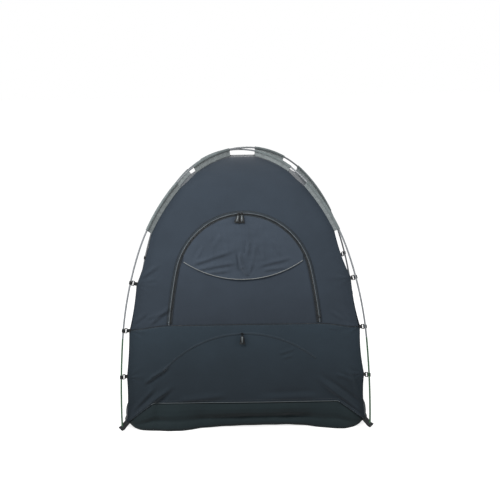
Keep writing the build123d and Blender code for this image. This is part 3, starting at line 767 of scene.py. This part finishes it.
# ---- cloth pieces
surround = front_surround()
FRONT_OUT = (0, -1, 0.3)
cloth("front_upper_cloth", surround, UPPER, ["front_upper_panel"], FRONT_OUT, flat=(1.18, 0.96))
door = cloth("door_cloth", door_grid(), DOOR, ["door_panel"], FRONT_OUT, body=None,
             flat=(0.78, 0.61))
hinge_y = float(front_y(0.0, SEAM_Z))
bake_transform(door)
cloth("front_lower_cloth", front_lower(), LOWER, ["front_lower_panel"], (0, -1, 0))
cloth("back_upper_cloth", wall_grid("back", TOP_Z, SEAM_Z, 180, 150), UPPER,
      ["back_upper_panel"], (0, 1, 0.3))
cloth("back_lower_cloth", wall_grid("back", SEAM_Z, None, 180, 80), LOWER,
      ["back_lower_panel"], (0, 1, 0))
for face in ("left", "right"):
    cloth(f"{face}_cloth", wall_grid(face, TOP_Z, None, 150, 240), UPPER, [f"{face}_panel"],
          FACES[face][2])
for face in ("front", "back", "left", "right"):
    out = (0, -1, 0) if face == "front" else FACES[face][2]
    cloth(f"{face}_skirt_cloth", skirt_of(face), SKIRT, [f"{face}_skirt"], out,
          depth=0.0006)

u = np.linspace(-1, 1, 24)[None]
v = np.linspace(-1, 1, 18)[:, None]
top_out = out_at(TOP_Z, "plain")
crown = np.stack(np.broadcast_arrays(u * top_out * ACROSS, v * top_out * ALONG,
                                     TOP_Z - 0.004 * (1 - u ** 2) * (1 - v ** 2)), -1)
cloth("crown_cloth", crown, UPPER, ["crown_panel"], (0, 0, 1))

# ---- door pouch and its piping
POUCH_CREASES = (
    ((-0.019, 0.895), (-0.008, 0.828), 0.008, 0.0045), ((-0.008, 0.830), (0.020, 0.788), 0.009, 0.0050),
    ((0.030, 0.955), (0.019, 0.889), 0.009, 0.0026), ((-0.245, 0.850), (-0.068, 0.905), 0.011, 0.0034),
    ((-0.225, 0.821), (-0.055, 0.850), 0.011, 0.0038), ((-0.200, 0.800), (-0.080, 0.812), 0.010, 0.0026),
    ((0.090, 0.836), (0.228, 0.868), 0.011, 0.0034), ((0.110, 0.812), (0.215, 0.826), 0.010, 0.0024),
    ((0.060, 0.930), (0.050, 0.860), 0.010, 0.0026), ((0.095, 0.925), (0.105, 0.850), 0.011, 0.0022),
    ((0.150, 0.960), (0.185, 0.890), 0.012, 0.0022), ((-0.110, 0.990), (-0.150, 0.930), 0.012, 0.0018),
    ((-0.205, 0.930), (-0.240, 0.870), 0.010, 0.0020), ((0.030, 0.800), (0.045, 0.850), 0.008, 0.0020),
)


def lip_z(x):
    side_x, side_z = POUCH_SIDE
    rise = side_z - POUCH_LOW
    radius = (side_x ** 2 + rise ** 2) / (2 * rise)
    return POUCH_LOW + radius - np.sqrt(radius ** 2 - x ** 2)


def pouch_lift(x, z):
    """How far the pouch stands off the door: slack, most of all at its open lip."""
    reach = np.clip(1 - (x / 0.31) ** 2, 0, 1)
    below = np.exp(-(z - lip_z(x)) / 0.05)
    lift = 0.0025 + reach * (0.0060 * below + 0.0030 * np.exp(-((z - 0.93) / 0.09) ** 2))
    lift = lift + reach * waves(x, z, 61, 0.06, 0.0030)
    for start, end, width, height in POUCH_CREASES:
        lift = lift + crease(x, z, start, end, width, POUCH_CREASE_DEPTH * height)
    return np.maximum(lift, 0.0016)


inner = ARCH_R - TAPE - 0.001
u = np.linspace(-0.304, 0.304, 200)[:, None]
v = np.linspace(0, 1, 120)[None]
high = ARCH_Z + np.sqrt(inner ** 2 - u ** 2)
z = lip_z(u) * (1 - v) + high * v
pouch_points = front_point(u + 0 * z, z, pouch_lift(u + 0 * z, z))
cloth("pouch_cloth", pouch_points, POUCH, ["door_pouch"], FRONT_OUT, body="door")
lip = front_point(u[:, 0], lip_z(u[:, 0]), pouch_lift(u[:, 0], lip_z(u[:, 0])) + 0.0006)
finish_piece(tube("pouch_lip_piping", lip, 0.0018), PIPING, "door", ["pouch_piping"])

# ---- the arched zip
def band(name, near, far, lift, material, body, replaced=(), rows=4, foot=SEAM_Z + 0.008):
    """A flat tape between two distances from the arch."""
    paths = [arch_path(near + (far - near) * k / (rows - 1), foot_z=foot) for k in range(rows)]
    count = min(len(p) for p in paths)
    paths = [p[np.linspace(0, len(p) - 1, count).round().astype(int)] for p in paths]
    points = np.stack([front_point(p[:, 0], p[:, 1], lift) for p in paths])
    obj = grids_object(name, [points])
    if obj.data.polygons[len(obj.data.polygons) // 2].normal.y > 0:
        obj.data.flip_normals()
    thicken(obj, 0.0005)
    return finish_piece(obj, material, body, replaced)


def along_arch(grow, lift, step=0.004, foot=SEAM_Z + 0.006):
    path = arch_path(grow, step, foot)
    return front_point(path[:, 0], path[:, 1], lift)


band("arch_outer_tape", -0.0042, TAPE, 0.0011, TAPE_CLOTH, "shell", ["door_zip_outer_tape"])
band("arch_inner_tape", -TAPE, -0.0044, 0.0011, TAPE_CLOTH, "door", ["door_zip_inner_tape"])
for name, grow, body in (("outer", -0.0030, "shell"), ("inner", -0.0056, "door")):
    finish_piece(tube(f"arch_{name}_coil", along_arch(grow, 0.0022), 0.0013, 6), COIL, body)
    path = along_arch(grow, 0.0024, 0.0004)
    steps = np.concatenate([[0], np.cumsum(np.linalg.norm(np.diff(path, axis=0), axis=1))])
    at = np.arange(0.003, steps[-1] - 0.003, 0.0022)
    middles = np.stack([np.interp(at, steps, path[:, k]) for k in range(3)], 1)
    ahead = np.stack([np.interp(at + 0.001, steps, path[:, k]) for k in range(3)], 1) - middles
    ahead /= np.linalg.norm(ahead, axis=1)[:, None]
    outward = np.array([0.0, -0.93, 0.37])
    side = np.cross(outward, ahead)
    side /= np.linalg.norm(side, axis=1)[:, None]
    teeth = boxes_object(f"arch_{name}_teeth", middles, list(zip(ahead, side, np.cross(ahead, side))),
                         (0.0011, 0.0028, 0.0016))
    finish_piece(teeth, COIL, body)
# The outer welt is a thin tube in the pale colour: a painted highlight along the edge of the cloth over the
# zip.
for name, grow, radius, material, body in (
        ("outer_seam", TAPE, 0.0008, TAPE_SEAM, "shell"), ("outer_welt", 0.0012, 0.0012, WELT_HIGHLIGHT_AND_TAPE_ENDS, "shell"),
        ("inner_seam", -TAPE, 0.0014, DARK, "door")):
    finish_piece(tube(f"arch_{name}", along_arch(grow, 0.0018), radius, 6), material, body)

for name, x, z, size, material in (
        ("zip_stop_right", 0.384, SEAM_Z + 0.036, (0.007, 0.010, 0.004), COIL),
        ("zip_dot_right", 0.3835, SEAM_Z + 0.012, (0.004, 0.006, 0.002), WELT_HIGHLIGHT_AND_TAPE_ENDS),
        ("zip_dot_left", -0.3835, SEAM_Z + 0.016, (0.004, 0.007, 0.002), WELT_HIGHLIGHT_AND_TAPE_ENDS),
        ("zip_dot_left_low", -0.384, SEAM_Z + 0.005, (0.004, 0.004, 0.002), WELT_HIGHLIGHT_AND_TAPE_ENDS)):
    axes = (np.array([1.0, 0, 0]), np.array([0, 0.1, 1.0]), np.array([0, -1.0, 0.1]))
    spot = front_point(x, z, 0.0040)
    finish_piece(boxes_object(name, [spot], [axes], size), material, "shell")

# ---- the lower zip, the waist seam and the hem
sweep = np.radians(np.linspace(-48, 40, 170))
fan_x, fan_z = FAN_R * np.sin(sweep), FAN_TOP - FAN_R + FAN_R * np.cos(sweep)
rows = []
for side in np.linspace(-1, 1, 5):
    r = FAN_R + side * 0.0062
    lift = 0.0005 + 0.0009 * (1 - side ** 2)
    rows.append(front_point(r * np.sin(sweep), FAN_TOP - FAN_R + r * np.cos(sweep), lift))
fan = grids_object("fan_zip_cover", [np.stack(rows)])
if fan.data.polygons[300].normal.y > 0:
    fan.data.flip_normals()
thicken(fan, 0.0004)
finish_piece(fan, LOWER, "shell", ["fan_zip_tape"])
# A thin tube along the lower zip, lighter than the cloth round it: a painted highlight on its crease.
finish_piece(tube("fan_zip_edge", front_point(fan_x, fan_z, 0.0015), 0.0006, 6), FAN_EDGE_HIGHLIGHT, "shell")

seam_x = np.linspace(-0.610, 0.610, 420)
seam_z = np.full_like(seam_x, SEAM_Z)
keep = np.abs(seam_x) < side_out(seam_x, seam_z - seam_drop(seam_x, seam_z)) * ACROSS
seam_x, seam_z = seam_x[keep], seam_z[keep]
finish_piece(tube("waist_seam", front_point(seam_x, seam_z, 0.0004), 0.0011, 6), DARK, "shell")
stitches("waist_stitches", front_point(seam_x, seam_z - 0.006, 0.0004), (0, -1, 0.08))

u = np.linspace(-0.99, 0.99, 420)
low = hem_z(u * FRONT_HALF, FRONT_HALF)
hem_x = u * side_out(u, low) * ACROSS
hem = front_point(hem_x, low, 0.0006)
finish_piece(tube("front_hem_edge", hem[np.abs(hem[:, 0]) < 0.484], 0.0014, 6), HEM_EDGE, "shell")
for name, cut in (("left", hem[:, 0] < -0.482), ("right", hem[:, 0] > 0.482)):
    finish_piece(tube(f"front_hem_fold_{name}", hem[cut], 0.0016, 6), LOWER, "shell")
stitches("hem_stitches", front_point(hem_x[12:-12], low[12:-12] + 0.012, 0.0004), (0, -1, 0.08))

# ---- corner seams, sleeves, tethers and boots
for corner in CORNERS:
    line = np.array([seam_point(s, corner) for s in np.linspace(TOP_S, 1.757, 330)])
    finish_piece(tube(f"corner_seam_{corner}", line, 0.0013, 6), UPPER, "shell")

SLEEVE_R = 0.0063
for corner in CORNERS:
    grids, bands, thread = [], [], []
    for start, end in SLEEVES[corner.split("_")[0]]:
        rings, flats, line = [], [], []
        for s in np.arange(start, end + 0.0001, 0.0015):
            middle, inward, down, side = station(s, corner)
            seam = seam_point(s, corner)
            reach = np.linalg.norm(seam - middle)
            inward = (seam - middle) / reach
            side = np.cross(down, inward)
            side /= np.linalg.norm(side)
            rib = 0.0005 * abs(math.sin(math.pi * s / 0.0065))
            angles = np.radians(np.linspace(18, 342, 20))
            rings.append([middle + (inward * math.cos(a) + side * math.sin(a)) * (SLEEVE_R + rib)
                          for a in angles])
            wavy = 0.0010 * math.sin(2 * math.pi * s / 0.034) + 0.0006 * math.sin(2 * math.pi * s / 0.013)
            flats.append([middle + inward * (n + (reach + 0.001 - SLEEVE_R) * t)
                          + side * (h + wavy * t * (1 - t) * 3)
                          for n, t, h in [(SLEEVE_R * 0.95, t, 0.0007) for t in np.linspace(0, 1, 7)]
                          + [(SLEEVE_R * 0.95, t, -0.0007) for t in np.linspace(1, 0, 7)]])
            line.append(middle + inward * 0.0105 + side * (0.0013 if CORNERS[corner][0] < 0 else -0.0013))
        grids.append(np.array(rings))
        bands.append(np.array(flats))
        thread.append(np.array(line))
    ribbed = grids_object(f"sleeve_tube_{corner}", grids)
    thicken(ribbed, 0.0006, 0.0)
    finish_piece(ribbed, SLEEVE_TUBE, "shell", [f"sleeve_{corner}"])
    lengths = sum(end - start for start, end in SLEEVES[corner.split("_")[0]])
    flat_band = grids_object(f"sleeve_band_{corner}", bands, closed=True)
    finish_piece(flat_band, SLEEVE_BAND, "shell")
    for k, line in enumerate(thread):
        stitches(f"sleeve_stitches_{corner}_{k}", line, (CORNERS[corner][0], 0, 0.4), 0.0045)

tether_grids = []
for corner in CORNERS:
    for s in CLIP_S[corner]:
        middle, inward, down, side = station(s, corner)
        seam = seam_point(s, corner)
        reach = float((seam - middle) @ inward)
        offset = float((seam - middle) @ side)
        profile = [(reach + 0.002, 0.0009), ((reach + BAR_N) / 2, 0.0012)]
        profile += [(BAR_N + 0.0027 * math.cos(a), 0.0027 * math.sin(a))
                    for a in np.radians(np.linspace(70, 290, 12))]
        profile += [((reach + BAR_N) / 2, -0.0012), (reach + 0.002, -0.0009)]
        tether_grids.append(np.array([
            [middle + inward * n + side * (h + offset * (n - BAR_N) / (reach - BAR_N)) + down * w
             for n, h in profile] for w in np.linspace(-0.009, 0.009, 7)]))
tethers = grids_object("tether_webbing", tether_grids)
thicken(tethers, 0.0013, 0.0)
finish_piece(tethers, WEBBING, "shell", ["clip_tethers"])

BOOT_PATH = (  # distance out, height and thickness along the strap, from the cloth's corner to past the foot
    (0.742, 0.0470, 0.0030), (0.752, 0.0400, 0.0035), (0.762, 0.0315, 0.0050), (0.770, 0.0240, 0.0090),
    (FOOT_OUT - 0.004, 0.0168, 0.0165), (FOOT_OUT + 0.003, 0.0142, 0.0170), (FOOT_OUT + 0.008, 0.0126, 0.0130),
    (FOOT_OUT + 0.012, 0.0112, 0.0070), (FOOT_OUT + 0.013, 0.0109, 0.0016))
BOOT_HALF = 0.0140
for corner, (x_side, y_side) in CORNERS.items():
    away = np.array([x_side * ACROSS, y_side * ALONG, 0.0])
    ahead = away * (BOOT_PATH[-1][0] - BOOT_PATH[0][0]) + np.array([0, 0, BOOT_PATH[-1][1] - BOOT_PATH[0][1]])
    ahead /= np.linalg.norm(ahead)
    across = np.cross(ahead, (0, y_side, 0.25))
    across /= np.linalg.norm(across)
    face_out = np.cross(across, ahead)
    knots = np.array(BOOT_PATH)
    fine = np.linspace(0, len(knots) - 1, 40)
    path = np.stack([np.interp(fine, range(len(knots)), knots[:, k]) for k in range(3)], 1)
    for _ in range(2):
        path[1:-1] = (path[:-2] + path[1:-1] * 2 + path[2:]) / 4
    rings = []
    for k, (out, high, thick) in enumerate(path):
        half = BOOT_HALF * (1 - 0.22 * smooth((k - 33) / 6))
        turn = [(math.cos(a), math.sin(a)) for a in np.linspace(0, 2 * math.pi, 28, endpoint=False)]
        rings.append([away * out + np.array([0, 0, high]) + across * half * math.copysign(abs(c) ** 0.45, c)
                      + face_out * thick / 2 * math.copysign(abs(d) ** 0.7, d) for c, d in turn])
    rings = np.array(rings)
    rings[..., 2] = np.maximum(rings[..., 2], 0.0006)
    boot = grids_object(f"boot_webbing_{corner}", [rings], closed=True)
    finish_piece(boot, BOOT, "shell", [f"boot_{corner}"])
    outer = 7 if float(face_out @ np.array([0, y_side, 0])) > 0 else 21
    for k, turn in enumerate((-5, 5)):
        line = rings[3:34, (outer + turn) % 28] + face_out * (0.0004 if outer == 7 else -0.0004)
        stitches(f"boot_stitches_{corner}_{k}", line, (0, y_side, 0.25), 0.0042, (0.0026, 0.0007, 0.0005))

# ---- pulls: a pale stem and a flared foot on each
PULLS = {"door_left": (-3.3, -12.0, ARCH_R, ARCH_Z), "door_right": (-0.7, 0.0, ARCH_R, ARCH_Z),
         "fan": (-1.2, 0.0, FAN_R, FAN_TOP - FAN_R)}
PULL_LIFT = 0.0032 + 0.0036 + 0.0005 + 0.0008 + 0.0015
BAR_DOWN = 0.0106 - 0.0008
for name, (angle, hang, radius, middle_z) in PULLS.items():
    x, z = radius * math.sin(math.radians(angle)), middle_z + radius * math.cos(math.radians(angle))
    out, up = (float(v) for v in front_normal(z))
    facing = np.array([0, -out, up])
    climb = np.array([0, up, out])
    turned = np.array([math.cos(math.radians(hang)), 0, 0]) + climb * math.sin(math.radians(hang))
    rise = np.cross(facing, turned)
    spot = np.array([x, -ALONG * float(out_at(z, "plain")), z]) + facing * (CLOTH / 2)

    def at(across, along, lift):
        return spot + turned * across + rise * along + facing * lift

    axes = (turned, rise, facing)
    stem = boxes_object(f"{name}_stem", [at(0, -BAR_DOWN - 0.0200, PULL_LIFT + 0.0009)], [axes],
                        (0.0066, 0.0300, 0.0018))
    finish_piece(stem, STEM, f"{name}_pull")
    sides, foot = [], []
    for side in (-1, 1):
        for t in np.linspace(0, 1, 30):
            sides.append(at(side * (0.0062 + 0.0070 * t ** 1.5), -BAR_DOWN - 0.002 - 0.041 * t,
                            PULL_LIFT + 0.0004))
    rails = boxes_object(f"{name}_rails", sides, [axes] * len(sides), (0.0022, 0.0020, 0.0014))
    finish_piece(rails, RUBBER, f"{name}_pull")
    ridges = [at(0, -BAR_DOWN - 0.0365 - 0.0022 * k, PULL_LIFT + 0.0003) for k in range(4)]
    ribs = boxes_object(f"{name}_ridges", ridges, [axes] * 4, (0.0250, 0.0016, 0.0012))
    finish_piece(ribs, RUBBER, f"{name}_pull")

# ---- looks of the carried-over CAD nodes
MATERIALS = {
    "pole_a_upper_sections": GREY, "pole_b_upper_sections": GREY,
    "pole_a_lower_sections": GREEN, "pole_b_lower_sections": GREEN,
    "pole_a_ferrules": STEEL, "pole_b_ferrules": STEEL,
    "pole_a_shock_cord": ELASTIC, "pole_b_shock_cord": ELASTIC, "pole_tips": CLIP,
}
for name, obj in nodes.items():
    material = MATERIALS.get(name)
    if name.startswith("clip_") and name != "clip_tethers":
        material = CLIP
    elif name.endswith(("_slider", "_bail")):
        material = SLIDER
    elif name.endswith("_pull"):
        material = RUBBER
    if material:
        obj.data.materials.clear()
        obj.data.materials.append(material)


# ---- floor and light
def camera_only(n, to_camera, otherwise):
    """One value where the camera looks straight at a surface, another for the light it throws."""
    path = n.add("ShaderNodeLightPath").outputs["Is Camera Ray"]
    return n.math("ADD", n.math("MULTIPLY", path, to_camera - otherwise), otherwise)


def add_floor():
    size = 60.0
    floor = mesh_object("floor", [(-size, -size, 0), (size, -size, 0), (size, size, 0), (-size, size, 0)],
                        [(0, 1, 2, 3)])
    n = Nodes("floor")
    tone = n.ramp(n.noise(3.0, 3.0), ((0.3, (0.41, 0.41, 0.41)), (0.7, (0.42, 0.42, 0.42))))
    n.link(tone, n.shader.inputs["Base Color"])
    n.shader.inputs["Roughness"].default_value = 0.9
    n.shader.inputs["Specular IOR Level"].default_value = 0.0
    n.shader.inputs["Emission Color"].default_value = (1, 1, 1, 1)
    n.link(camera_only(n, 0.86, 0.0), n.shader.inputs["Emission Strength"])
    floor.data.materials.append(n.material)


def add_light(name, place, target, size, power):
    data = bpy.data.lights.new(name, "AREA")
    data.shape = "RECTANGLE"
    data.size, data.size_y = size
    data.energy = power
    light = bpy.data.objects.new(name, data)
    light.location = place
    light.rotation_euler = (Vector(target) - Vector(place)).to_track_quat("-Z", "Y").to_euler()
    bpy.context.scene.collection.objects.link(light)


add_floor()
add_light("key", (-1.0, -1.9, 2.75), (0, -0.2, 0.75), (1.0, 0.9), 54)
add_light("left", (-2.6, -1.6, 1.5), (0, 0, 0.75), (0.9, 1.4), 36)
add_light("right", (2.7, -1.4, 1.6), (0, 0, 0.75), (0.9, 1.4), 38)
add_light("back", (0.4, 2.6, 2.6), (0, 0, 0.7), (1.4, 1.2), 40)
world = bpy.data.worlds.new("world")
world.use_nodes = True
tree = world.node_tree
path = tree.nodes.new("ShaderNodeLightPath").outputs["Is Camera Ray"]
level = tree.nodes.new("ShaderNodeMapRange")
level.inputs["To Min"].default_value = 0.42
level.inputs["To Max"].default_value = 1.0
tree.links.new(path, level.inputs["Value"])
tree.links.new(level.outputs["Result"], tree.nodes["Background"].inputs["Strength"])
tree.nodes["Background"].inputs["Color"].default_value = (1, 1, 1, 1)
bpy.context.scene.world = world
bpy.context.scene.view_settings.view_transform = "Standard"
